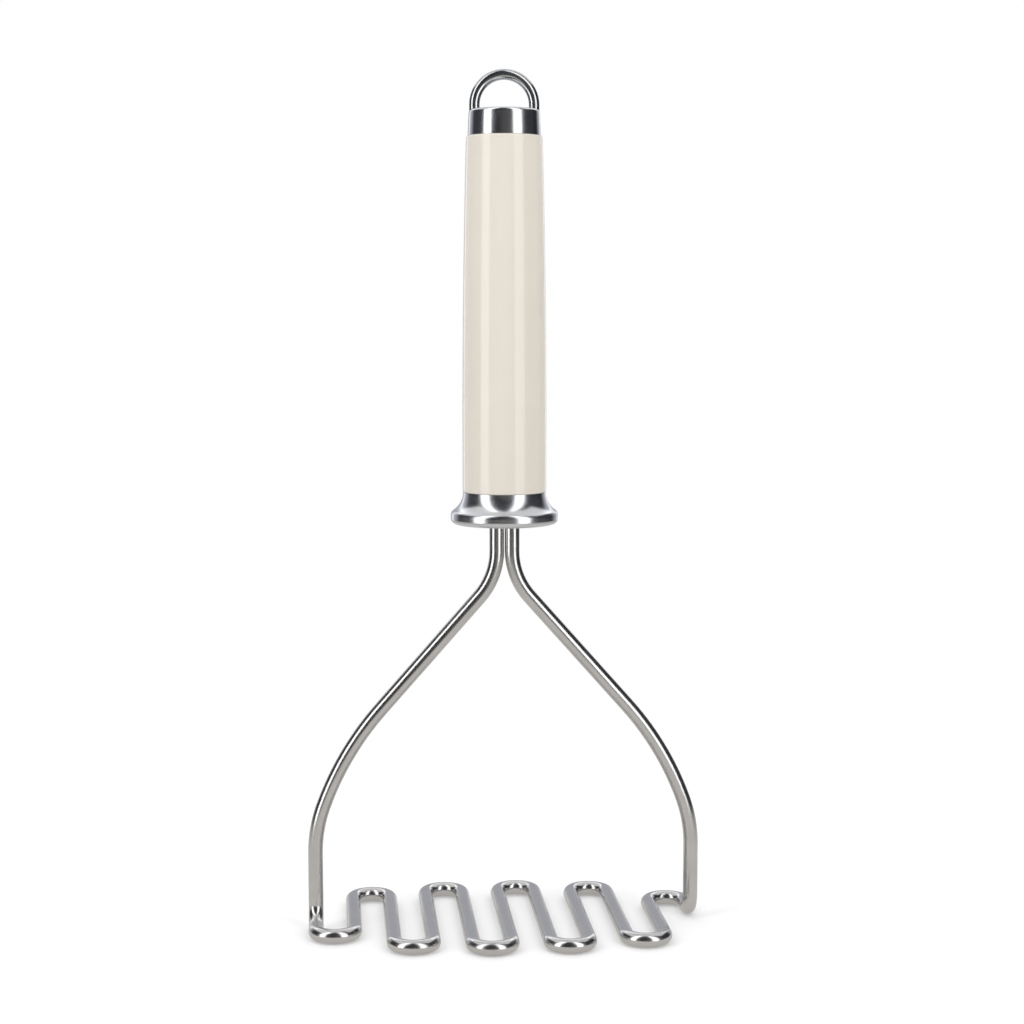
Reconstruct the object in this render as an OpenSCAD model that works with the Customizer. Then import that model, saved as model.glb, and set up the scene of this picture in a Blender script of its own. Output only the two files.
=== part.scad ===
// Wire potato masher: one bent steel wire forms the mashing face, both arms and both shanks.
// The shanks run up through a chromed bolster and end in hooks, trapped by a split core.
// A screw under the end cap pulls the grip down over the core and onto the bolster.
// Millimetres. X runs across the arms, Y from front to back, Z up the handle.
// The origin is under the centre of the mashing face, on the surface the masher stands on.

/* [Mashing face] */
// Diameter of the steel wire
wire_d = 4.5; // [4:0.1:5]
// Distance between neighbouring runs of wire
pitch = 11.6; // [10:0.1:14]
// How far each front bend reaches from the centre line, left to right
reach = [15.5, 28, 31, 31, 27.5]; // [14:0.5:40]

/* [Arms] */
// Radius of the bend from each arm into the face
foot_r = 6; // [5:0.5:8]
// Height at which each arm starts to lean in
knee_z = 23.8; // [18:0.1:30]
// Radius of the lower part of each haunch
knee_r = 43; // [30:1:60]
// Lean of the arm where the haunch changes radius, in degrees
knee_a = 20; // [10:1:25]
// Radius of the upper part of each haunch
haunch_r = 92; // [70:1:100]
// Lean of the straight stretch of each arm, in degrees
lean_a = 41.5; // [38:0.5:46]
// Radius of the bend under the bolster
shoulder_r = 21; // [15:1:26]
// Clear length of the two shanks between that bend and the bolster
neck_l = 8.5; // [4:0.1:12]
// Gap between the two shanks
shank_gap = 0.2; // [0.1:0.1:0.6]
// Height of the straight shanks inside the handle
shank_l = 44; // [30:1:48]
// Radius of the hook at the end of each shank
hook_r = 3.8; // [3.5:0.1:4]

/* [Bolster] */
// Radius of the bolster's rim
rim_r = 16.25; // [16:0.05:18]
// Rounding of the rim's edges
rim_round = 1.65; // [1:0.05:1.9]
// Height of the bolster below the grip
bolster_h = 9.7; // [9:0.1:12]
// Radius of the bolster where it meets the grip
collar_r = 12.5; // [12:0.05:12.6]
// Radius of the hollow flare
flare_r = 6.8; // [6.5:0.05:7.5]

/* [Grip] */
// Radius of the grip's lower end
grip_r = 12.65; // [12.6:0.05:14]
// Radius of the grip's upper end
grip_top_r = 11.4; // [11.3:0.05:12]
// Length of the grip
grip_l = 106; // [100:1:115]
// Height above the grip's lower end at which it starts to taper
taper_z = 16; // [10:1:40]
// Radius of the bore that holds the core
bore_r = 8.75; // [8.7:0.05:9]

/* [Cap and loop] */
// Radius of the cap at its top
cap_top_r = 10.6; // [10.5:0.05:10.8]
// Draft of the cap's side, in degrees
cap_draft = 2.8; // [2:0.1:3]
// Height of the cap
cap_h = 7.8; // [7:0.1:10]
// Diameter of the loop's wire
loop_d = 3.2; // [2.8:0.1:3.2]
// Radius of the loop, to the middle of its wire
loop_r = 8.9; // [8.6:0.1:8.9]
// Clear height of the loop's legs above the cap
loop_rise = 1.4; // [0:0.1:3]

/* [Fixings] */
// Outer diameter of the screw's thread
screw_d = 4; // [3:0.5:4]
// Length of the screw under its head
screw_l = 18; // [16:1:18]

/* [Hidden] */
$fn = 96;

wire_r = wire_d / 2;
wire_sides = 20;
face_step = 15;
arm_step = 5;
small_bend = 10;
legs = 2 * len(reach);
arm_x = legs / 2 * pitch;
bend_r = pitch / 2;
foot_z = wire_r + foot_r;

// Centres of the arm's bends in the XZ plane, worked out from the foot up to the neck
function dir(a) = [cos(a), sin(a)];
knee_c = [arm_x - knee_r, knee_z];
haunch_c = knee_c + (knee_r - haunch_r) * dir(knee_a);
lean_end = haunch_c + haunch_r * dir(lean_a);
shank_x = wire_r + shank_gap / 2;
lean_x = shank_x + shoulder_r * (1 - cos(lean_a));
lean_l = (lean_end[0] - lean_x) / sin(lean_a);
shoulder_c = lean_end + lean_l * [-sin(lean_a), cos(lean_a)] + shoulder_r * dir(lean_a);

bolster_z = shoulder_c[1] + neck_l;
grip_z = bolster_z + bolster_h;
cap_z = grip_z + grip_l;
loop_z = cap_z + cap_h + loop_rise;
hook_c = [shank_x + hook_r, grip_z + shank_l];
hook_end = 1;

// Parts inside the handle, measured up from the grip's lower end
slot_fit = 0.05;
core_fit = 0.1;
neck_r = 6;
neck_h = 4;
flange_r = 7.4;
flange_h = 3;
core_l = 70;
core_gap = 0.5;
web_z = core_l + core_gap;
web_h = 4;
web_hole_d = screw_d + 0.5;
cup_z = web_z + web_h;
cup_r = 7.5;
washer_h = 1;
washer_r = 6;
washer_hole_d = screw_d + 0.3;
head_h = 2.6;
head_r = 3.6;
head_round = 1.2;
recess_l = 4;
recess_w = 0.8;
recess_h = 1.4;
plain_l = 5;
tip_h = 1;
tip_r = screw_d / 2 - 1.1;
thread_pitch = 1.4;
thread_h = 0.5;
spigot_h = 12;
socket_h = 5;
cap_round = 1;
edge = 0.4;
// How far a cut runs past the face it breaks through
cut = 1;

// Points along an arc around centre c, from angle a to angle b
function arc(c, r, a, b, n) = [for (i = [0:n]) c + r * dir(a + (b - a) * i / n)];
// All of a list's points but the first
function rest(points) = [for (i = [1:len(points) - 1]) points[i]];

// ---- The wire is swept through stations: each is [place, two directions across the wire] ----

// A place and lean in the XZ plane, where lean is measured from straight up towards -X
function upright(p, lean) = [[p[0], 0, p[1]], [cos(lean), 0, sin(lean)], [0, 1, 0]];
// How many steps a bend of radius r takes to turn through an angle
function steps(r, turn) = ceil(abs(turn) / (r < small_bend ? face_step : arm_step));
// A bend in the XZ plane that leans further towards -X as it climbs, after lean a and up to lean b
function bend_in(c, r, a, b) = let (n = steps(r, b - a))
    [for (i = [1:n]) let (t = a + (b - a) * i / n) upright(c + r * dir(t), t)];
// A bend in the XZ plane that leans back towards +X as it climbs, after lean a and up to lean b
function bend_out(c, r, a, b) = let (n = steps(r, b - a))
    [for (i = [1:n]) let (t = a + (b - a) * i / n) upright(c - r * dir(t), t)];

// The right arm from the face up to the hook at the end of its shank
foot = [for (a = [0:face_step:90 - face_step])
    [[arm_x, foot_r * (1 - sin(a)), foot_z - foot_r * cos(a)], [1, 0, 0], [0, sin(a), cos(a)]]];
arm = concat(
    foot,
    [upright([arm_x, foot_z], 0), upright([arm_x, knee_z], 0)],
    bend_in(knee_c, knee_r, 0, knee_a),
    bend_in(haunch_c, haunch_r, knee_a, lean_a),
    [upright(shoulder_c - shoulder_r * dir(lean_a), lean_a)],
    bend_out(shoulder_c, shoulder_r, lean_a, 0),
    [upright([shank_x, hook_c[1]], 0)],
    bend_out(hook_c, hook_r, 0, -90),
    [upright(hook_c + [hook_end, hook_r], -90)]);

// The left arm is the right one turned half way round, and is followed from its hook down
function turned(v) = [-v[0], -v[1], v[2]];
left_arm = [for (i = [len(arm) - 1:-1:0]) [turned(arm[i][0]), turned(arm[i][1]), -turned(arm[i][2])]];
right_arm = [for (s = arm) [s[0], -s[1], -s[2]]];

// Where run k of the face ends at the front and at the back
function front_y(k) = k == legs ? foot_r : bend_r - reach[floor(k / 2)];
function back_y(k) = k == 0 ? -foot_r : reach[len(reach) - 1 - floor((k - 1) / 2)] - bend_r;
// The half-circle bend after run k, at the front after even runs and at the back after odd ones
function face_bend(k) = let (s = k % 2 == 0 ? 1 : -1, y = s > 0 ? front_y(k) : back_y(k))
    [for (a = [0:face_step:180])
        [[(k + 0.5) * pitch - arm_x - bend_r * cos(a), y - s * bend_r * sin(a), wire_r],
         [-s * cos(a), -sin(a), 0],
         [0, 0, -1]]];

stations = concat(left_arm, [for (k = [0:legs - 1]) each face_bend(k)], right_arm);

module mash_wire() {
    n = wire_sides;
    last = (len(stations) - 1) * n;
    points = [for (s = stations, i = [0:n - 1])
        s[0] + wire_r * (cos(360 * i / n) * s[1] + sin(360 * i / n) * s[2])];
    sides = [for (k = [0:n:last - 1], i = [0:n - 1]) let (j = (i + 1) % n)
        [k + i, k + n + i, k + n + j, k + j]];
    start = [for (i = [0:n - 1]) i];
    end = [for (i = [n - 1:-1:0]) last + i];
    color("silver")
        polyhedron(points, concat([start], sides, [end]));
}

// ---- Bolster ----

// The slot for both shanks, from height z0 to height z1
module shank_slot(z0, z1) {
    slot_r = wire_r + slot_fit;
    for (x = [-shank_x, shank_x])
        translate([x, 0, z0])
            cylinder(r = slot_r, h = z1 - z0);
    translate([-shank_x, -slot_r, z0])
        cube([2 * shank_x, 2 * slot_r, z1 - z0]);
}

// A rounded rim that sweeps up through a hollow flare to the collar under the grip
module bolster() {
    round_x = rim_r - rim_round;
    flare_c = [collar_r + flare_r, bolster_h];
    round_z = bolster_h - sqrt(pow(flare_r + rim_round, 2) - pow(flare_c[0] - round_x, 2));
    meet_a = atan2(bolster_h - round_z, flare_c[0] - round_x);
    profile = concat(
        [[0, 0]],
        arc([round_x, rim_round], rim_round, -90, 0, 8),
        arc([round_x, round_z], rim_round, 0, meet_a, 6),
        rest(arc(flare_c, flare_r, 180 + meet_a, 180, 12)),
        [[neck_r, bolster_h],
         [neck_r, bolster_h + neck_h],
         [flange_r, bolster_h + neck_h],
         [flange_r, bolster_h + neck_h + flange_h],
         [0, bolster_h + neck_h + flange_h]]);
    color("gainsboro")
        translate([0, 0, bolster_z])
            difference() {
                rotate_extrude()
                    polygon(profile);
                shank_slot(-cut, bolster_h + neck_h + flange_h + cut);
            }
}

// ---- Core ----

// Half of the moulded core: front is -1 for the half nearer the user and 1 for the other
module core_half(side) {
    translate([0, 0, grip_z])
        difference() {
            cylinder(r = bore_r - core_fit, h = core_l);
            translate([-2 * bore_r, side > 0 ? -2 * bore_r : 0, -cut])
                cube([4 * bore_r, 2 * bore_r, core_l + 2 * cut]);
            translate([0, 0, -cut])
                cylinder(r = neck_r + slot_fit, h = neck_h + 2 * cut);
            translate([0, 0, neck_h])
                cylinder(r = flange_r + slot_fit, h = flange_h);
            shank_slot(neck_h, shank_l);
            hook_channels();
            translate([0, 0, cup_z + washer_h - screw_l - cut])
                cylinder(d = screw_d, h = screw_l);
        }
}

// Room for the two hooks, as quarter bends and short straight ends
module hook_channels() {
    for (turn = [0, 180])
        rotate([0, 0, turn])
            translate([hook_c[0], 0, shank_l])
                rotate([90, 0, 0]) {
                    rotate_extrude(angle = 90, start = 90)
                        translate([hook_r, 0])
                            circle(r = wire_r + slot_fit);
                    translate([0, hook_r, 0])
                        rotate([0, 90, 0])
                            cylinder(r = wire_r + slot_fit, h = hook_end + slot_fit);
                }
}

module core_front_half() {
    color("dimgray")
        core_half(-1);
}

module core_back_half() {
    color("gray")
        core_half(1);
}

// ---- Grip ----

// A tapering sleeve with a web across it, which the screw pulls down on
module grip() {
    bow_l = grip_l - taper_z;
    bow_r = (pow(bow_l, 2) + pow(grip_r - grip_top_r, 2)) / (2 * (grip_r - grip_top_r));
    bow_a = asin((bow_l - edge) / bow_r);
    bow_c = [grip_r - bow_r, taper_z];
    profile = concat(
        [[0, 0], [grip_r - edge, 0], [grip_r, edge]],
        arc(bow_c, bow_r, 0, bow_a, 16),
        [[grip_top_r - edge, grip_l], [0, grip_l]]);
    color("antiquewhite")
        translate([0, 0, grip_z])
            difference() {
                rotate_extrude()
                    polygon(profile);
                translate([0, 0, -cut])
                    cylinder(r = bore_r, h = web_z + cut);
                cylinder(d = web_hole_d, h = grip_l);
                translate([0, 0, cup_z])
                    cylinder(r = cup_r, h = grip_l);
            }
}

// ---- Fixings ----

module screw_washer() {
    color("lightsteelblue")
        translate([0, 0, grip_z + cup_z])
            difference() {
                cylinder(r = washer_r, h = washer_h);
                translate([0, 0, -cut])
                    cylinder(d = washer_hole_d, h = washer_h + 2 * cut);
            }
}

// Pan head with a cross recess over a thread drawn as a stack of ridges
module handle_screw() {
    turns = floor((screw_l - plain_l - tip_h) / thread_pitch);
    root_r = screw_d / 2 - thread_h;
    first_z = tip_h - screw_l;
    ridges = [for (i = [0:turns - 1]) each
        [[root_r, first_z + i * thread_pitch], [screw_d / 2, first_z + (i + 0.5) * thread_pitch]]];
    shank = concat(
        [[0, -screw_l], [tip_r, -screw_l]],
        ridges,
        [[root_r, first_z + turns * thread_pitch], [root_r, 0], [head_r, 0]],
        arc([head_r - head_round, head_h - head_round], head_round, 0, 90, 6),
        [[0, head_h]]);
    color("slategray")
        translate([0, 0, grip_z + cup_z + washer_h])
            difference() {
                rotate_extrude()
                    polygon(shank);
                for (a = [0, 90])
                    rotate([0, 0, a])
                        translate([-recess_l / 2, -recess_w / 2, head_h - recess_h])
                            cube([recess_l, recess_w, recess_h + cut]);
            }
}

// ---- Cap and loop ----

// Drafted cap with a rounded top edge, a spigot for the grip and sockets for the loop
module end_cap() {
    round_c = [cap_top_r - cap_round, cap_h - cap_round];
    side = round_c + cap_round * dir(cap_draft);
    foot_x = side[0] + side[1] * tan(cap_draft);
    spigot_r = cup_r - slot_fit;
    profile = concat(
        [[0, -spigot_h], [spigot_r - edge, -spigot_h], [spigot_r, edge - spigot_h],
         [spigot_r, 0], [foot_x, 0]],
        arc(round_c, cap_round, cap_draft, 90, 8),
        [[0, cap_h]]);
    color("whitesmoke")
        translate([0, 0, cap_z])
            difference() {
                rotate_extrude()
                    polygon(profile);
                for (x = [-loop_r, loop_r])
                    translate([x, 0, cap_h - socket_h])
                        cylinder(d = loop_d, h = socket_h + cut);
            }
}

// Half ring on two straight legs that are brazed into the cap's sockets
module hang_loop() {
    leg_l = socket_h + loop_rise;
    color("lightgray")
        translate([0, 0, loop_z]) {
            rotate([90, 0, 0])
                rotate_extrude(angle = 180)
                    translate([loop_r, 0])
                        circle(d = loop_d);
            for (x = [-loop_r, loop_r])
                translate([x, 0, -leg_l])
                    cylinder(d = loop_d, h = leg_l);
        }
}

mash_wire();
bolster();
core_front_half();
core_back_half();
grip();
screw_washer();
handle_screw();
end_cap();
hang_loop();
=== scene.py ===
"""Finished looks of a wire potato masher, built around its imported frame.

The bent wire, bolster, grip, end cap and hanging loop are remade as smooth meshes on the same sizes.
The core, screw and washer inside the handle keep their own shapes and get their finishes here.
"""

import math

import bmesh
import bpy
from bpy.props import FloatProperty, FloatVectorProperty, PointerProperty
from mathutils import Matrix, Vector


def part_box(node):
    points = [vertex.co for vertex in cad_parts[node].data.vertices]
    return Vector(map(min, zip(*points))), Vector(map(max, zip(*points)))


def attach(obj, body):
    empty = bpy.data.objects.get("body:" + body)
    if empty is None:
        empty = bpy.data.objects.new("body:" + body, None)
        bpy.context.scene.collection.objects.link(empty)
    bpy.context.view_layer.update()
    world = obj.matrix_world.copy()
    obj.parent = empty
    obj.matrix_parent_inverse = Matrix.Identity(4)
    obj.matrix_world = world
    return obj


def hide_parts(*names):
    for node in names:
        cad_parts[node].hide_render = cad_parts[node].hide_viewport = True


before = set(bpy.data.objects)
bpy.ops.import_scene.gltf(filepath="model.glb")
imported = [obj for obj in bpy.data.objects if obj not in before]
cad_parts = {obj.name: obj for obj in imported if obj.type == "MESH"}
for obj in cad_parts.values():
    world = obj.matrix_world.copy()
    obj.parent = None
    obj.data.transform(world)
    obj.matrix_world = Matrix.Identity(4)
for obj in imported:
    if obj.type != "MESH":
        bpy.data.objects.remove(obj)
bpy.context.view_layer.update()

bl_info = {
    "name": "Wire Potato Masher",
    "version": (1, 0, 0),
    "blender": (4, 5, 0),
    "location": "View3D > Sidebar > Masher",
    "description": "Builds a wire potato masher with a plastic grip and chromed fittings",
    "category": "Object",
}

ROOT = "root"
MM = 0.001
MICRON = 0.000001
WHITE = (1.0, 1.0, 1.0, 1.0)
SENSOR = 36
LEFT, RIGHT = Vector((-1, 0, 0)), Vector((1, 0, 0))
FRONT, UP = Vector((0, -1, 0)), Vector((0, 0, 1))


def low(node):
    """Height of a node's lowest point."""
    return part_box(node)[0].z


def high(node):
    """Height of a node's highest point."""
    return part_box(node)[1].z


def wide(node):
    """Width of a node from left to right."""
    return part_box(node)[1].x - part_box(node)[0].x


# ---------------------------------------------------------------- settings


def size(name, description, default):
    """A length that the user may change."""
    return FloatProperty(name=name, description=description, default=default, unit="LENGTH", precision=5)


def angle(name, description, degrees):
    """An angle that the user may change."""
    return FloatProperty(name=name, description=description, default=math.radians(degrees), unit="ROTATION")


def tint(name, description, default):
    """A colour that the user may change."""
    return FloatVectorProperty(
        name=name, description=description, default=default, subtype="COLOR", min=0, max=1
    )


class MASHER_PG_wire(bpy.types.PropertyGroup):
    """Sizes of the bent wire."""

    diameter: size("Diameter", "Diameter of the steel wire", 4.5 * MM)
    pitch: size("Pitch", "Distance between neighbouring runs of the face", 11.6 * MM)
    reach: FloatVectorProperty(
        name="Reach",
        description="How far each front bend reaches from the centre line, left to right",
        default=[v * MM for v in (15.5, 28, 31, 31, 27.5)],
        size=5,
        unit="LENGTH",
    )
    foot_radius: size("Foot radius", "Radius of the bend from each arm into the face", 6 * MM)
    knee_height: size("Knee height", "Height at which the arms start to lean in", 23.8 * MM)
    knee_radius: size("Knee radius", "Radius of the lower part of each haunch", 43 * MM)
    knee_lean: angle("Knee lean", "Lean of the arm where the haunch changes radius", 20)
    haunch_radius: size("Haunch radius", "Radius of the upper part of each haunch", 92 * MM)
    lean: angle("Lean", "Lean of the straight stretch of each arm", 41.5)
    shoulder_radius: size("Shoulder radius", "Radius of the bend under the bolster", 21 * MM)
    shank_gap: size("Shank gap", "Gap between the two shanks", 0.2 * MM)
    shank_height: size("Shank height", "Length of the straight shanks above the bolster", 44 * MM)
    hook_radius: size("Hook radius", "Radius of the hook at the end of each shank", 3.8 * MM)
    hook_end: size("Hook end", "Straight length at the tip of each hook", 1 * MM)


class MASHER_PG_handle(bpy.types.PropertyGroup):
    """Sizes of the turned parts."""

    rim_round: size("Rim rounding", "Rounding of the bolster's rim", 1.65 * MM)
    flare_radius: size("Flare radius", "Radius of the bolster's hollow flare", 6.8 * MM)
    collar_radius: size("Collar radius", "Radius of the bolster where it meets the grip", 12.5 * MM)
    grip_top_radius: size("Grip top radius", "Radius of the grip's upper end", 11.4 * MM)
    taper_height: size("Taper height", "Length of the grip below its taper", 16 * MM)
    grip_round: size("Grip rounding", "Rounding of the grip's two end edges", 0.4 * MM)
    cap_top_radius: size("Cap top radius", "Radius of the cap at its top", 10.6 * MM)
    cap_round: size("Cap rounding", "Rounding of the cap's top edge", 1 * MM)
    cap_draft: angle("Cap draft", "Draft of the cap's side", 2.8)
    cap_lip: size("Cap lip", "Break of the cap's lower edge, where it meets the grip", 0.12 * MM)
    underside_radius: size("Underside radius", "Radius of the flat ring round the slot", 8 * MM)
    neck_radius: size("Neck radius", "Radius of the bolster's neck inside the grip", 6 * MM)
    neck_length: size("Neck length", "Length of the neck under its flange", 4 * MM)
    flange_radius: size("Flange radius", "Radius of the flange that the core holds", 7.4 * MM)
    slot_fit: size("Slot fit", "Room round the shanks in the bolster's slot", 0.05 * MM)
    slot_chamfer: size("Slot chamfer", "Chamfer round the mouth of the slot", 0.3 * MM)
    bore_radius: size("Bore radius", "Radius of the grip's bore", 8.75 * MM)
    web_thickness: size("Web thickness", "Thickness of the web that the screw pulls on", 4 * MM)
    web_hole_radius: size("Web hole radius", "Radius of the screw's hole through the web", 2.25 * MM)
    cup_room: size("Cup room", "Room round the washer in its cup", 1.5 * MM)
    spigot_radius: size("Spigot radius", "Radius of the cap's spigot inside the grip", 7.45 * MM)
    spigot_chamfer: size("Spigot chamfer", "Chamfer of the spigot's end", 0.4 * MM)


class MASHER_PG_finish(bpy.types.PropertyGroup):
    """Colours of the finishes."""

    steel: tint("Steel", "Polished stainless steel", (0.65, 0.64, 0.63))
    chrome: tint("Chrome", "Chrome plate", (0.70, 0.71, 0.73))
    loop: tint("Loop", "Satin chrome of the hanging loop", (0.52, 0.525, 0.535))
    cream: tint("Cream", "Cream plastic", (0.775, 0.725, 0.64))
    core: tint("Core", "Moulded core", (0.030, 0.030, 0.032))
    zinc: tint("Zinc", "Zinc-plated steel", (0.60, 0.61, 0.60))


class MASHER_PG_studio(bpy.types.PropertyGroup):
    """The camera and the room."""

    lens: FloatProperty(name="Lens", description="Focal length of the camera", default=71.7, unit="CAMERA")
    distance: size("Distance", "Distance from the camera to its target", 0.618)
    target: size("Target height", "Height that the camera looks at", 0.128)
    aside: size("Target offset", "How far to the right of the handle the camera looks", 2.3 * MM)
    azimuth: angle("Azimuth", "How far the camera stands to the left of the front", 5.2)
    elevation: angle("Elevation", "How far the camera looks down", 6)
    floor_radius: size("Floor radius", "Radius of the round floor", 0.6)
    floor: tint("Floor", "Colour of the floor to the eye", (0.90, 0.90, 0.90))
    # Painted shade: a darker copy of the floor's colour, for the light the floor throws back and for how it
    # looks in reflections
    floor_shaded_copy: tint("Floor bounce", "Colour of the floor to the light it throws back", (0.54, 0.53, 0.505))
    # Painted reflection: the floor glows in reflections with a steady tone in place of its lit shade,
    # brighter in the middle than at the sides
    floor_glow_near: tint("Floor near", "Steady tone of the floor's middle in reflections", (0.70, 0.685, 0.66))
    floor_glow_aside: tint("Floor aside", "Steady tone of the floor's sides in reflections", (0.42, 0.41, 0.395))
    room_fill: tint("Room fill", "Light of the room on the masher", (0.56, 0.56, 0.575))
    room_back: tint("Room back", "Tone behind the masher in reflections", (0.44, 0.455, 0.495))
    room_glow: tint("Room glow", "Faint glow straight in front in reflections", (0.08, 0.076, 0.072))
    room_dark: tint("Room dark", "Darkest tone of the room in reflections", (0.005, 0.006, 0.009))
    room_dim: tint("Room dim", "Lightest tone of the room's dark parts", (0.036, 0.038, 0.046))


# ---------------------------------------------------------------- meshes


def loft(name, loops, closed=False, sharp=(), unbent=None):
    """A mesh through loops of points that all have the same count.

    closed joins the last loop to the first. Otherwise both ends are filled. sharp holds the numbers
    of the loops whose edges stay crisp. unbent gives each point its place on the straightened wire.
    """
    count = len(loops[0])
    bm = bmesh.new()
    layer = bm.verts.layers.float_vector.new("unbent") if unbent is not None else None
    rings = [[bm.verts.new(p) for p in loop] for loop in loops]
    pairs = list(zip(rings, rings[1:]))
    if closed:
        pairs.append((rings[-1], rings[0]))
    for a, b in pairs:
        for i in range(count):
            j = (i + 1) % count
            bm.faces.new((a[i], a[j], b[j], b[i]))
    if not closed:
        bm.faces.new(rings[0][::-1])
        bm.faces.new(rings[-1])
    for face in bm.faces:
        face.smooth = True
    for k in sharp:
        for i in range(count):
            bm.edges.get((rings[k][i], rings[k][(i + 1) % count])).smooth = False
    if unbent is not None:
        for verts, places in zip(rings, unbent):
            for vert, place in zip(verts, places):
                vert[layer] = place
    bmesh.ops.recalc_face_normals(bm, faces=bm.faces)
    mesh = bpy.data.meshes.new(name)
    bm.to_mesh(mesh)
    bm.free()
    piece = bpy.data.objects.new(name, mesh)
    bpy.context.scene.collection.objects.link(piece)
    return piece


def arc(centre, radius, start, end, steps):
    """Points of an arc in a plane, from one angle to another."""
    cx, cy = centre
    turns = [start + (end - start) * i / steps for i in range(steps + 1)]
    return [(cx + radius * math.cos(t), cy + radius * math.sin(t)) for t in turns]


# How near a ring stands to the end of a straight stretch, the turn from which an edge is crisp,
# the points round a turned part, and the radius of the flat disc that closes one
HOLD = 0.12 * MM
CRISP = math.radians(35)
SEGMENTS = 160
DISC = 2 * MM


def held(profile):
    """The profile with a point close to each end of every long straight, to keep its shading flat."""
    points = [profile[0]]
    for (ax, ay), (bx, by) in zip(profile, profile[1:]):
        length = math.hypot(bx - ax, by - ay)
        if length > 6 * HOLD:
            for part in (HOLD / length, 1 - HOLD / length):
                points.append((ax + (bx - ax) * part, ay + (by - ay) * part))
        points.append((bx, by))
    return points


def crisp(profile, closed):
    """The numbers of the profile's points at which it turns sharply."""
    found = []
    count = len(profile)
    for i in range(count):
        if not closed and i in (0, count - 1):
            continue
        a, b, c = profile[i - 1], profile[i], profile[(i + 1) % count]
        into = math.atan2(b[1] - a[1], b[0] - a[0])
        out = math.atan2(c[1] - b[1], c[0] - b[0])
        turn = abs((out - into + math.pi) % (2 * math.pi) - math.pi)
        if turn > CRISP:
            found.append(i)
    return found


def ring(radius, height):
    """One loop of a turned part."""
    turns = [2 * math.pi * i / SEGMENTS for i in range(SEGMENTS)]
    return [Vector((radius * math.cos(t), radius * math.sin(t), height)) for t in turns]


def turned(name, profile, closed=False):
    """A part turned about the handle's axis from a profile of (radius, height) points."""
    profile = held(profile + profile[:1])[:-1] if closed else held(profile)
    return loft(name, [ring(r, z) for r, z in profile], closed, crisp(profile, closed))


class Bender:
    """A length of wire under a bending tool: it is fed forwards and bent towards a direction."""

    SIDES = 48
    TIGHT = 30 * MM
    TIGHT_STEP = math.radians(5)
    WIDE_STEP = math.radians(1.5)
    LEAST_STEPS = 4

    def __init__(self, place, heading, across):
        self.place = Vector(place)
        self.heading = Vector(heading)
        self.across = Vector(across)
        self.length = 0.0
        self.stations = []
        self.mark()

    def mark(self):
        """Notes the place, the two directions across the wire and the length so far."""
        sideways = self.heading.cross(self.across)
        self.stations.append((self.place.copy(), self.across.copy(), sideways, self.length))

    def feed(self, length):
        """Moves straight on, with a ring close to each end of a long stretch."""
        near = 2 * HOLD
        stops = [near, length - near, length] if length > 4 * near else [length]
        done = 0.0
        for stop in stops:
            self.place += self.heading * (stop - done)
            self.length += stop - done
            done = stop
            self.mark()

    def bend(self, radius, turn, towards):
        """Turns through an angle towards the given direction."""
        inward = (towards - self.heading * towards.dot(self.heading)).normalized()
        centre = self.place + inward * radius
        largest = self.TIGHT_STEP if radius < self.TIGHT else self.WIDE_STEP
        steps = max(self.LEAST_STEPS, math.ceil(turn / largest))
        step = Matrix.Rotation(turn / steps, 3, self.heading.cross(inward))
        for _ in range(steps):
            self.place = centre + step @ (self.place - centre)
            self.heading = step @ self.heading
            self.across = step @ self.across
            self.length += radius * turn / steps
            self.mark()

    def wire(self, name, diameter):
        """The round wire along the whole path."""
        turns = [2 * math.pi * i / self.SIDES for i in range(self.SIDES)]
        circle = [(diameter / 2 * math.cos(t), diameter / 2 * math.sin(t)) for t in turns]
        loops = [[p + u * x + v * y for x, y in circle] for p, u, v, _ in self.stations]
        unbent = [[(x, y, s) for x, y in circle] for _, _, _, s in self.stations]
        return loft(name, loops, unbent=unbent)


# ---------------------------------------------------------------- shader maths


class Socket:
    """An output of a shader node that can be used in sums."""

    def __init__(self, shader, output):
        self.shader = shader
        self.output = output

    def maths(self, operation, *values):
        return self.shader.add("ShaderNodeMath", {"operation": operation}, *values)

    def __add__(self, other):
        return self.maths("ADD", self, other)

    def __radd__(self, other):
        return self.maths("ADD", other, self)

    def __sub__(self, other):
        return self.maths("SUBTRACT", self, other)

    def __rsub__(self, other):
        return self.maths("SUBTRACT", other, self)

    def __mul__(self, other):
        return self.maths("MULTIPLY", self, other)

    def __rmul__(self, other):
        return self.maths("MULTIPLY", other, self)

    def ramp(self, start, end):
        """0 below start, 1 above end and smooth between them."""
        settings = {"interpolation_type": "SMOOTHSTEP"}
        return self.shader.add("ShaderNodeMapRange", settings, self, start, end, 0.0, 1.0)


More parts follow.
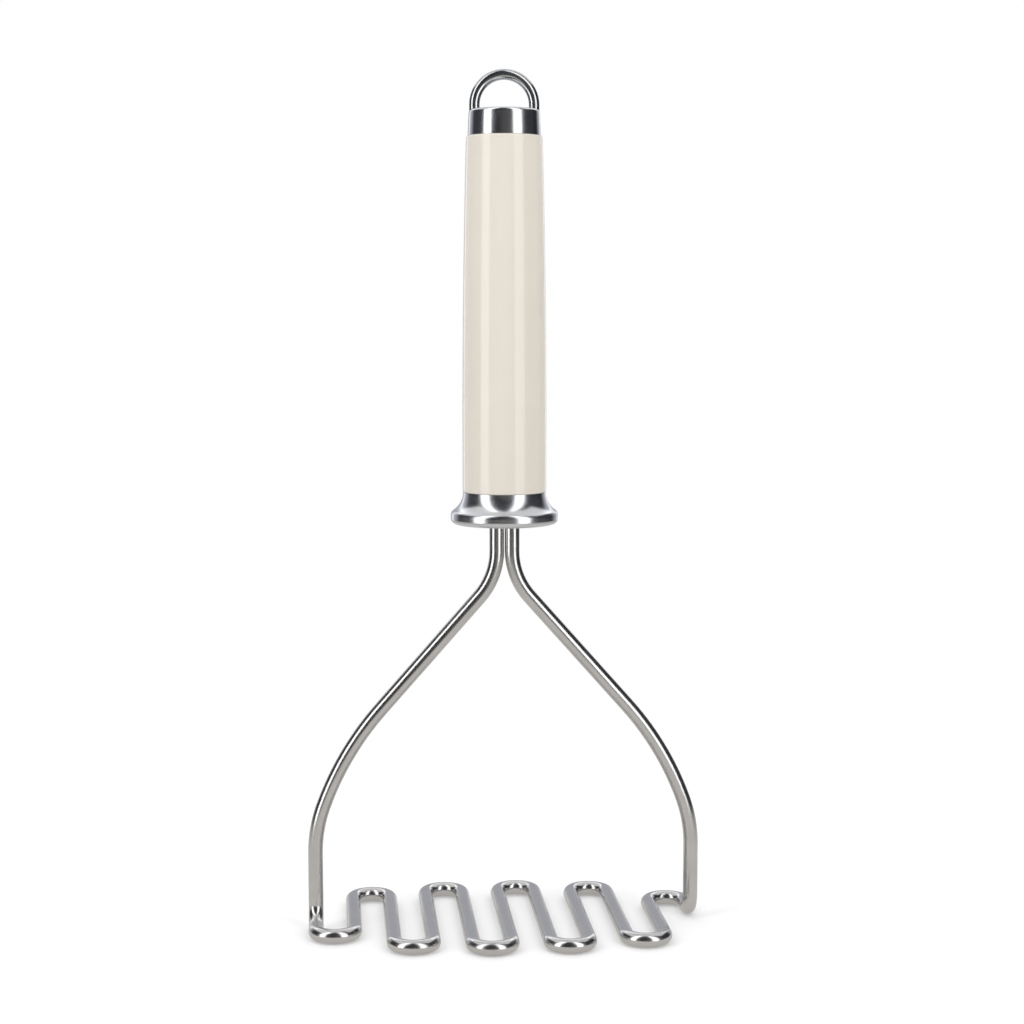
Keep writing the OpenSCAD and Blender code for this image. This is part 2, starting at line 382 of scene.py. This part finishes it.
class Shader:
    """The node tree of one material or world."""

    def __init__(self, owner):
        owner.use_nodes = True
        self.tree = owner.node_tree
        self.tree.nodes.clear()

    def add(self, kind, settings=None, *values, out=0, **named):
        """A node of the given kind, with its settings first and then its inputs, by order or by name."""
        node = self.tree.nodes.new(kind)
        for key, value in (settings or {}).items():
            setattr(node, key, value)
        inputs = list(enumerate(values)) + [(k.replace("_", " "), v) for k, v in named.items()]
        for key, value in inputs:
            if isinstance(value, Socket):
                self.tree.links.new(value.output, node.inputs[key])
            else:
                node.inputs[key].default_value = value
        return Socket(self, node.outputs[out]) if node.outputs else None

    def object_place(self):
        return self.add("ShaderNodeTexCoord", out="Object")

    def unbent_place(self):
        return self.add("ShaderNodeAttribute", {"attribute_name": "unbent"}, out="Vector")

    def scaled(self, vector, scale):
        """The vector times a vector of scales."""
        return self.add("ShaderNodeVectorMath", {"operation": "MULTIPLY"}, vector, scale)

    def part(self, vector, axis):
        """One component of a vector."""
        return self.add("ShaderNodeSeparateXYZ", None, vector, out=axis)

    def noise(self, vector, scale, detail=2.0, roughness=0.5):
        """Noise from about 0 to 1, with a scale in features to the metre."""
        return self.add(
            "ShaderNodeTexNoise", None, Vector=vector, Scale=scale, Detail=detail, Roughness=roughness
        )

    def mix(self, factor, a, b):
        """A colour between a and b."""
        node = self.tree.nodes.new("ShaderNodeMix")
        node.data_type = "RGBA"
        for key, value in ((0, factor), (6, a), (7, b)):
            if isinstance(value, Socket):
                self.tree.links.new(value.output, node.inputs[key])
            else:
                node.inputs[key].default_value = value
        return Socket(self, node.outputs[2])

    def bump(self, height, distance, normal=None):
        """A bump of the given height in metres, laid over another if one is given."""
        under = {} if normal is None else {"Normal": normal}
        return self.add("ShaderNodeBump", None, Strength=1.0, Distance=distance, Height=height, **under)

    def glow(self, colour):
        """A surface that shines with the given colour."""
        return self.add("ShaderNodeEmission", None, Color=colour, Strength=1.0)

    def blend(self, factor, a, b):
        """A surface between a and b."""
        return self.add("ShaderNodeMixShader", None, factor, a, b)

    def surface(self, **named):
        """The finished surface, from the sockets of a Principled shader."""
        shader = self.add("ShaderNodeBsdfPrincipled", None, **named)
        self.add("ShaderNodeOutputMaterial", None, shader)


def material(name):
    """A new material and its shader."""
    made = bpy.data.materials.new(name)
    return made, Shader(made)


def rgba(colour, gain=1.0):
    """A colour times a gain, with full alpha."""
    return tuple(c * gain for c in colour) + (1.0,)


def polished_steel():
    """Drawn and polished stainless wire: faint drawing lines along it and a slight waver."""
    made, s = material("polished_steel_wire")
    colour = bpy.context.scene.masher_finish.steel
    place = s.unbent_place()
    lines = s.noise(s.scaled(place, (1.0, 1.0, 0.02)), scale=2600.0, detail=3.0, roughness=0.6)
    haze = s.noise(place, scale=110.0, detail=4.0, roughness=0.6)
    waver = s.noise(s.scaled(place, (1.0, 1.0, 0.35)), scale=420.0, detail=1.0)
    shade = s.mix(haze.ramp(0.35, 0.75), rgba(colour), rgba(colour, 0.93))
    fine = s.bump(lines, 0.35 * MICRON)
    s.surface(
        Base_Color=shade,
        Metallic=1.0,
        Roughness=0.19 + 0.05 * haze.ramp(0.45, 0.8) + 0.04 * lines,
        Normal=s.bump(waver, 4 * MICRON, fine),
    )
    return made


def chrome_plate(name, colour, gloss, haze_scale):
    """Chrome plate: near mirror, with a little haze, a few pits and a soft waver."""
    made, s = material(name)
    place = s.object_place()
    haze = s.noise(place, scale=haze_scale, detail=5.0, roughness=0.62)
    waver = s.noise(place, scale=210.0, detail=1.0)
    specks = s.noise(place, scale=4200.0, detail=1.0).ramp(0.72, 0.80)
    shade = s.mix(haze.ramp(0.4, 0.8), rgba(colour), rgba(colour, 0.94))
    s.surface(
        Base_Color=shade,
        Metallic=1.0,
        Roughness=gloss + 0.05 * haze.ramp(0.45, 0.8) + 0.05 * specks,
        Normal=s.bump(waver, 6 * MICRON),
    )
    return made


def cream_plastic():
    """Glossy moulded plastic: a soft mottle, a fine moulded skin and gloss that varies a little."""
    made, s = material("cream_plastic")
    colour = bpy.context.scene.masher_finish.cream
    place = s.object_place()
    mottle = s.noise(place, scale=45.0, detail=4.0, roughness=0.55)
    flow = s.noise(s.scaled(place, (1.0, 1.0, 0.25)), scale=160.0, detail=3.0)
    skin = s.noise(place, scale=1500.0)
    peel = s.noise(place, scale=260.0, detail=1.0)
    shade = s.mix(mottle.ramp(0.3, 0.7), rgba(colour), rgba(colour, 0.975))
    shade = s.mix(flow.ramp(0.55, 0.9) * 0.5, shade, rgba(colour, 1.03))
    s.surface(
        Base_Color=shade,
        Roughness=0.055 + 0.03 * flow + 0.02 * skin,
        IOR=1.46,
        Normal=s.bump(skin, 1.2 * MICRON, s.bump(peel, 12 * MICRON)),
    )
    return made


def core_plastic():
    """Unfinished moulded plastic: dark, dull and faintly grained."""
    made, s = material("core_plastic")
    colour = bpy.context.scene.masher_finish.core
    place = s.object_place()
    grain = s.noise(place, scale=2400.0, detail=3.0, roughness=0.6)
    flow = s.noise(s.scaled(place, (1.0, 1.0, 0.2)), scale=220.0, detail=3.0)
    s.surface(
        Base_Color=s.mix(flow.ramp(0.35, 0.7), rgba(colour), rgba(colour, 1.5)),
        Roughness=0.48 + 0.14 * grain,
        Normal=s.bump(grain, 10 * MICRON),
    )
    return made


def zinc_plate():
    """Zinc-plated steel: pale, patchy and slightly dull, with fine turning marks."""
    made, s = material("zinc_plate")
    colour = bpy.context.scene.masher_finish.zinc
    place = s.object_place()
    patches = s.noise(place, scale=700.0, detail=4.0, roughness=0.6)
    marks = s.noise(s.scaled(place, (0.15, 0.15, 1.0)), scale=9000.0)
    warm = (colour[0] * 1.05, colour[1], colour[2] * 0.88, 1.0)
    s.surface(
        Base_Color=s.mix(patches.ramp(0.4, 0.65), rgba(colour), warm),
        Metallic=1.0,
        Roughness=0.24 + 0.14 * patches,
        Normal=s.bump(marks, 3 * MICRON),
    )
    return made


def dress(piece, made):
    """Gives a piece its material and rides it on the body."""
    piece.data.materials.append(made)
    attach(piece, ROOT)


# ---------------------------------------------------------------- operators


class MASHER_OT_wire(bpy.types.Operator):
    """Bend the steel wire into the face, the arms and the shanks"""

    bl_idname = "masher.wire"
    bl_label = "Bent Wire"

    def execute(self, context):
        w = context.scene.masher_wire
        arm_x = len(w.reach) * w.pitch
        foot_height = w.diameter / 2 + w.foot_radius
        shank_x = (w.diameter + w.shank_gap) / 2
        haunch_turn = w.lean - w.knee_lean
        curved = (
            w.knee_radius * (1 - math.cos(w.knee_lean))
            + w.haunch_radius * (math.cos(w.knee_lean) - math.cos(w.lean))
            + w.shoulder_radius * (1 - math.cos(w.lean))
        )
        leaning = (arm_x - shank_x - curved) / math.sin(w.lean)
        climb = (
            w.knee_radius * math.sin(w.knee_lean)
            + w.haunch_radius * (math.sin(w.lean) - math.sin(w.knee_lean))
            + leaning * math.cos(w.lean)
            + w.shoulder_radius * math.sin(w.lean)
        )
        hook_height = low("grip") + w.shank_height
        shank = hook_height - w.knee_height - climb
        start = (-shank_x - w.hook_radius - w.hook_end, 0, hook_height + w.hook_radius)

        bender = Bender(start, RIGHT, FRONT)
        bender.feed(w.hook_end)
        bender.bend(w.hook_radius, math.pi / 2, -UP)
        bender.feed(shank)
        bender.bend(w.shoulder_radius, w.lean, LEFT)
        bender.feed(leaning)
        bender.bend(w.haunch_radius, haunch_turn, RIGHT)
        bender.bend(w.knee_radius, w.knee_lean, RIGHT)
        bender.feed(w.knee_height - foot_height)
        bender.bend(w.foot_radius, math.pi / 2, FRONT)
        fronts = [reach - w.pitch / 2 for reach in w.reach]
        backs = fronts[::-1]
        bender.feed(fronts[0] - w.foot_radius)
        for i in range(len(fronts)):
            bender.bend(w.pitch / 2, math.pi, RIGHT)
            bender.feed(fronts[i] + backs[i])
            bender.bend(w.pitch / 2, math.pi, RIGHT)
            if i + 1 < len(fronts):
                bender.feed(backs[i] + fronts[i + 1])
        bender.feed(backs[-1] - w.foot_radius)
        bender.bend(w.foot_radius, math.pi / 2, UP)
        bender.feed(w.knee_height - foot_height)
        bender.bend(w.knee_radius, w.knee_lean, LEFT)
        bender.bend(w.haunch_radius, haunch_turn, LEFT)
        bender.feed(leaning)
        bender.bend(w.shoulder_radius, w.lean, RIGHT)
        bender.feed(shank)
        bender.bend(w.hook_radius, math.pi / 2, RIGHT)
        bender.feed(w.hook_end)

        wire = bender.wire("bent_wire", w.diameter)
        dress(wire, polished_steel())
        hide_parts("mash_wire")
        return {"FINISHED"}


class MASHER_OT_bolster(bpy.types.Operator):
    """Turn the chromed bolster and pierce the slot for the shanks"""

    bl_idname = "masher.bolster"
    bl_label = "Bolster"

    def execute(self, context):
        h = context.scene.masher_handle
        w = context.scene.masher_wire
        finish = context.scene.masher_finish
        base, top, crown = low("bolster"), low("grip"), high("bolster")
        rim_x = wide("bolster") / 2 - h.rim_round
        flare_x = h.collar_radius + h.flare_radius
        drop = math.sqrt((h.flare_radius + h.rim_round) ** 2 - (flare_x - rim_x) ** 2)
        meet = math.atan2(drop, flare_x - rim_x)
        neck_top = top + h.neck_length
        profile = (
            [(h.underside_radius, base)]
            + arc((rim_x, base + h.rim_round), h.rim_round, -math.pi / 2, 0, steps=18)
            + arc((rim_x, top - drop), h.rim_round, 0, meet, steps=12)
            + arc((flare_x, top), h.flare_radius, math.pi + meet, math.pi, steps=28)[1:]
            + [(h.neck_radius, top), (h.neck_radius, neck_top)]
            + [(h.flange_radius, neck_top), (h.flange_radius, crown)]
        )
        profile = held(profile)
        outside = [ring(r, z) for r, z in profile]
        slot_radius = w.diameter / 2 + h.slot_fit
        half = (w.diameter + w.shank_gap) / 2
        chamfer = h.slot_chamfer
        inside = [
            slot_loop(half, slot_radius, crown),
            slot_loop(half, slot_radius, base + chamfer + HOLD),
            slot_loop(half, slot_radius, base + chamfer),
            slot_loop(half, slot_radius + chamfer, base),
        ]
        count = len(outside)
        sharp = crisp(profile, False) + [count - 1] + [count + i for i in (0, 2, 3)]
        bolster = loft("chromed_bolster", outside + inside, True, sharp)
        made = chrome_plate("chromed_bolster", finish.chrome, gloss=0.23, haze_scale=130.0)
        dress(bolster, made)
        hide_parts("bolster")
        return {"FINISHED"}


def slot_loop(half, radius, height):
    """A loop round the slot for two side-by-side wires, with its points at even angles."""
    points = []
    for i in range(SEGMENTS):
        t = 2 * math.pi * i / SEGMENTS
        c, s = abs(math.cos(t)), abs(math.sin(t))
        if s * half > c * radius:
            reach = radius / s
        else:
            reach = half * c + math.sqrt(radius**2 - (half * s) ** 2)
        points.append(Vector((reach * math.cos(t), reach * math.sin(t), height)))
    return points


class MASHER_OT_grip(bpy.types.Operator):
    """Mould the hollow plastic grip"""

    bl_idname = "masher.grip"
    bl_label = "Grip"

    def execute(self, context):
        h = context.scene.masher_handle
        base, top = low("grip"), high("grip")
        radius = wide("grip") / 2
        bow_start = base + h.taper_height
        slim = radius - h.grip_top_radius
        bow_radius = ((top - bow_start) ** 2 + slim**2) / (2 * slim)
        edge = h.grip_round
        bow_turn = math.asin((top - edge - bow_start) / bow_radius)
        bow = arc((radius - bow_radius, bow_start), bow_radius, 0, bow_turn, steps=60)
        cup = wide("screw_washer") / 2 + h.cup_room
        hole, bore = h.web_hole_radius, h.bore_radius
        web_top = low("screw_washer")
        web_low = web_top - h.web_thickness
        profile = (
            arc((radius - edge, base + edge), edge, -math.pi / 2, 0, steps=8)
            + bow
            + arc((bow[-1][0] - edge, top - edge), edge, bow_turn, math.pi / 2, steps=8)[1:]
            + [(cup, top), (cup, web_top), (hole, web_top)]
            + [(hole, web_low), (bore, web_low), (bore, base)]
        )
        grip = turned("cream_grip", profile, closed=True)
        dress(grip, cream_plastic())
        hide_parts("grip")
        return {"FINISHED"}


class MASHER_OT_cap(bpy.types.Operator):
    """Turn the chromed end cap with its spigot"""

    bl_idname = "masher.cap"
    bl_label = "End Cap"

    def execute(self, context):
        h = context.scene.masher_handle
        finish = context.scene.masher_finish
        joint, top, foot = high("grip"), high("end_cap"), low("end_cap")
        round_x, round_z = h.cap_top_radius - h.cap_round, top - h.cap_round
        edge = arc((round_x, round_z), h.cap_round, h.cap_draft, math.pi / 2, steps=14)
        base_radius = edge[0][0] + (edge[0][1] - joint) * math.tan(h.cap_draft)
        spigot, chamfer = h.spigot_radius, h.spigot_chamfer
        profile = (
            [(spigot - 2 * chamfer, foot), (spigot - chamfer, foot)]
            + [(spigot, foot + chamfer), (spigot, joint)]
            + [(base_radius - h.cap_lip, joint), (base_radius, joint + h.cap_lip)]
            + edge
            + [(DISC, top)]
        )
        cap = turned("chromed_cap", profile)
        made = chrome_plate("chromed_cap", finish.chrome, gloss=0.20, haze_scale=150.0)
        dress(cap, made)
        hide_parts("end_cap")
        return {"FINISHED"}


class MASHER_OT_loop(bpy.types.Operator):
    """Bend the hanging loop"""

    bl_idname = "masher.loop"
    bl_label = "Hanging Loop"

    def execute(self, context):
        h = context.scene.masher_handle
        finish = context.scene.masher_finish
        lowest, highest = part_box("hang_loop")
        thick = highest.y - lowest.y
        radius = (highest.x - lowest.x - thick) / 2
        leg = highest.z - thick / 2 - radius - lowest.z
        bender = Bender((-radius, 0, lowest.z), UP, FRONT)
        bender.feed(leg)
        bender.bend(radius, math.pi, RIGHT)
        bender.feed(leg)
        loop = bender.wire("wire_loop", thick)
        made = chrome_plate("chromed_loop", finish.loop, gloss=0.19, haze_scale=190.0)
        dress(loop, made)
        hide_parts("hang_loop")
        return {"FINISHED"}


class MASHER_OT_inside(bpy.types.Operator):
    """Finish the core, the screw and its washer inside the handle"""

    bl_idname = "masher.inside"
    bl_label = "Inside the Handle"

    def execute(self, context):
        core, zinc = core_plastic(), zinc_plate()
        finishes = {
            "core_front_half": core,
            "core_back_half": core,
            "handle_screw": zinc,
            "screw_washer": zinc,
        }
        for node, made in finishes.items():
            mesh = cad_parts[node].data
            mesh.materials.clear()
            mesh.materials.append(made)
        return {"FINISHED"}


class MASHER_OT_studio(bpy.types.Operator):
    """Set the pale floor, the soft lights and the camera"""

    bl_idname = "masher.studio"
    bl_label = "Studio"

    def execute(self, context):
        studio = context.scene.masher_studio
        self.floor(studio)
        self.lights()
        self.surroundings(studio)
        self.camera(context, studio)
        context.scene.view_settings.view_transform = "Standard"
        return {"FINISHED"}

    def floor(self, studio):
        """A round floor that fades into the white room. In reflections it is mostly a painted glow, brighter
        in its middle than at its sides, and elsewhere the light it throws back is painted darker than its
        colour to the eye.
        """
        bm = bmesh.new()
        bmesh.ops.create_circle(bm, cap_ends=True, segments=128, radius=studio.floor_radius)
        mesh = bpy.data.meshes.new("floor")
        bm.to_mesh(mesh)
        bm.free()
        floor = bpy.data.objects.new("floor", mesh)
        bpy.context.scene.collection.objects.link(floor)
        made, s = material("floor")
        eye = s.add("ShaderNodeLightPath", out="Is Camera Ray")
        mirror = s.add("ShaderNodeLightPath", out="Is Glossy Ray")
        place = s.object_place()
        far = s.add("ShaderNodeVectorMath", {"operation": "LENGTH"}, place, out="Value")
        aside = s.part(place, 0)
        # Painted shade: rays other than the eye's see the floor in its darker copied colour
        shade = s.mix(eye, rgba(studio.floor_shaded_copy), rgba(studio.floor))
        lit = s.add("ShaderNodeBsdfDiffuse", None, Color=shade)
        # Painted reflection: a glow, brighter in the middle than at the sides, stands in for most of the lit
        # floor that glossy rays see
        tone = s.mix((aside * aside).ramp(0.0, 0.09), rgba(studio.floor_glow_near), rgba(studio.floor_glow_aside))
        lit = s.blend(mirror * 0.7, lit, s.glow(tone))
        faded = (0.25 + 0.75 * far.ramp(0.12, 0.5)) * eye
        s.add("ShaderNodeOutputMaterial", None, s.blend(faded, lit, s.glow(WHITE)))
        floor.data.materials.append(made)

    def lights(self):
        """Two tall soft boxes in front, two behind and one overhead."""
        self.box("left_box", -60, 1.15, 2.5, (0.49, 5.8), radiance=2.6)
        self.box("right_box", 38, 1.15, 2.5, (0.57, 5.8), radiance=2.2)
        self.box("rear_left_box", -151, 1.3, 0.35, (0.24, 1.4), radiance=0.9)
        self.box("rear_right_box", 151, 1.3, 0.35, (0.24, 1.4), radiance=0.9)
        self.box("overhead_box", 180, 0.9, 1.4, (3.0, 2.2), radiance=0.78, faces_down=True)

    def box(self, name, bearing, distance, height, sides, radiance, faces_down=False):
        """A soft box that faces the handle or the floor.

        Its bearing is in degrees to the right of the front, and its height is that of its centre.
        """
        light = bpy.data.lights.new(name, "AREA")
        light.shape = "RECTANGLE"
        light.size, light.size_y = sides
        light.energy = radiance * sides[0] * sides[1] * math.pi
        turn = math.radians(bearing)
        box = bpy.data.objects.new(name, light)
        box.location = (distance * math.sin(turn), -distance * math.cos(turn), height)
        aim = -UP if faces_down else Vector((-math.sin(turn), math.cos(turn), 0))
        box.rotation_euler = aim.to_track_quat("-Z", "Y").to_euler()
        box.visible_camera = False
        bpy.context.scene.collection.objects.link(box)

    def surroundings(self, studio):
        """A room that is white to the eye, dark in reflections at the front and grey in those behind."""
        world = bpy.data.worlds.new("room")
        bpy.context.scene.world = world
        s = Shader(world)
        eye = s.add("ShaderNodeLightPath", out="Is Camera Ray")
        mirror = s.add("ShaderNodeLightPath", out="Is Glossy Ray")
        towards = s.add("ShaderNodeTexCoord", out="Generated")
        depth = s.part(towards, 1)
        clutter = s.noise(towards, scale=1.9).ramp(0.35, 0.7)
        dark = s.mix(clutter, rgba(studio.room_dark), rgba(studio.room_dim))
        front = s.mix((0 - depth).ramp(0.88, 0.998), dark, rgba(studio.room_glow))
        reflected = s.mix(depth.ramp(0.5, 0.68), front, rgba(studio.room_back))
        seen = s.mix(mirror, rgba(studio.room_fill), reflected)
        seen = s.mix(eye, seen, WHITE)
        back = s.add("ShaderNodeBackground", None, Color=seen, Strength=1.0)
        s.add("ShaderNodeOutputWorld", None, back)

    def camera(self, context, studio):
        """The camera, aimed a little to the right of the handle."""
        data = bpy.data.cameras.new("camera")
        data.lens = studio.lens
        data.sensor_width = SENSOR
        target = Vector((studio.aside, 0, studio.target))
        back = Vector((
            -math.sin(studio.azimuth) * math.cos(studio.elevation),
            -math.cos(studio.azimuth) * math.cos(studio.elevation),
            math.sin(studio.elevation),
        ))
        camera = bpy.data.objects.new("camera", data)
        camera.location = target + back * studio.distance
        camera.rotation_euler = (-back).to_track_quat("-Z", "Y").to_euler()
        context.scene.collection.objects.link(camera)
        context.scene.camera = camera


class MASHER_PT_panel(bpy.types.Panel):
    """Lists the masher's pieces"""

    bl_idname = "MASHER_PT_panel"
    bl_label = "Wire Potato Masher"
    bl_space_type = "VIEW_3D"
    bl_region_type = "UI"
    bl_category = "Masher"

    def draw(self, context):
        for operator in OPERATORS:
            self.layout.operator(operator.bl_idname)


OPERATORS = (
    MASHER_OT_wire,
    MASHER_OT_bolster,
    MASHER_OT_grip,
    MASHER_OT_cap,
    MASHER_OT_loop,
    MASHER_OT_inside,
    MASHER_OT_studio,
)
GROUPS = {
    "masher_wire": MASHER_PG_wire,
    "masher_handle": MASHER_PG_handle,
    "masher_finish": MASHER_PG_finish,
    "masher_studio": MASHER_PG_studio,
}


def register():
    for name, group in GROUPS.items():
        bpy.utils.register_class(group)
        setattr(bpy.types.Scene, name, PointerProperty(type=group))
    for made in OPERATORS + (MASHER_PT_panel,):
        bpy.utils.register_class(made)


def unregister():
    for made in (MASHER_PT_panel,) + OPERATORS[::-1]:
        bpy.utils.unregister_class(made)
    for name, group in GROUPS.items():
        delattr(bpy.types.Scene, name)
        bpy.utils.unregister_class(group)


def main():
    """Builds the masher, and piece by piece."""
    register()
    for name in ("wire", "bolster", "grip", "cap", "loop", "inside", "studio"):
        getattr(bpy.ops.masher, name)()


if __name__ == "__main__":
    main()
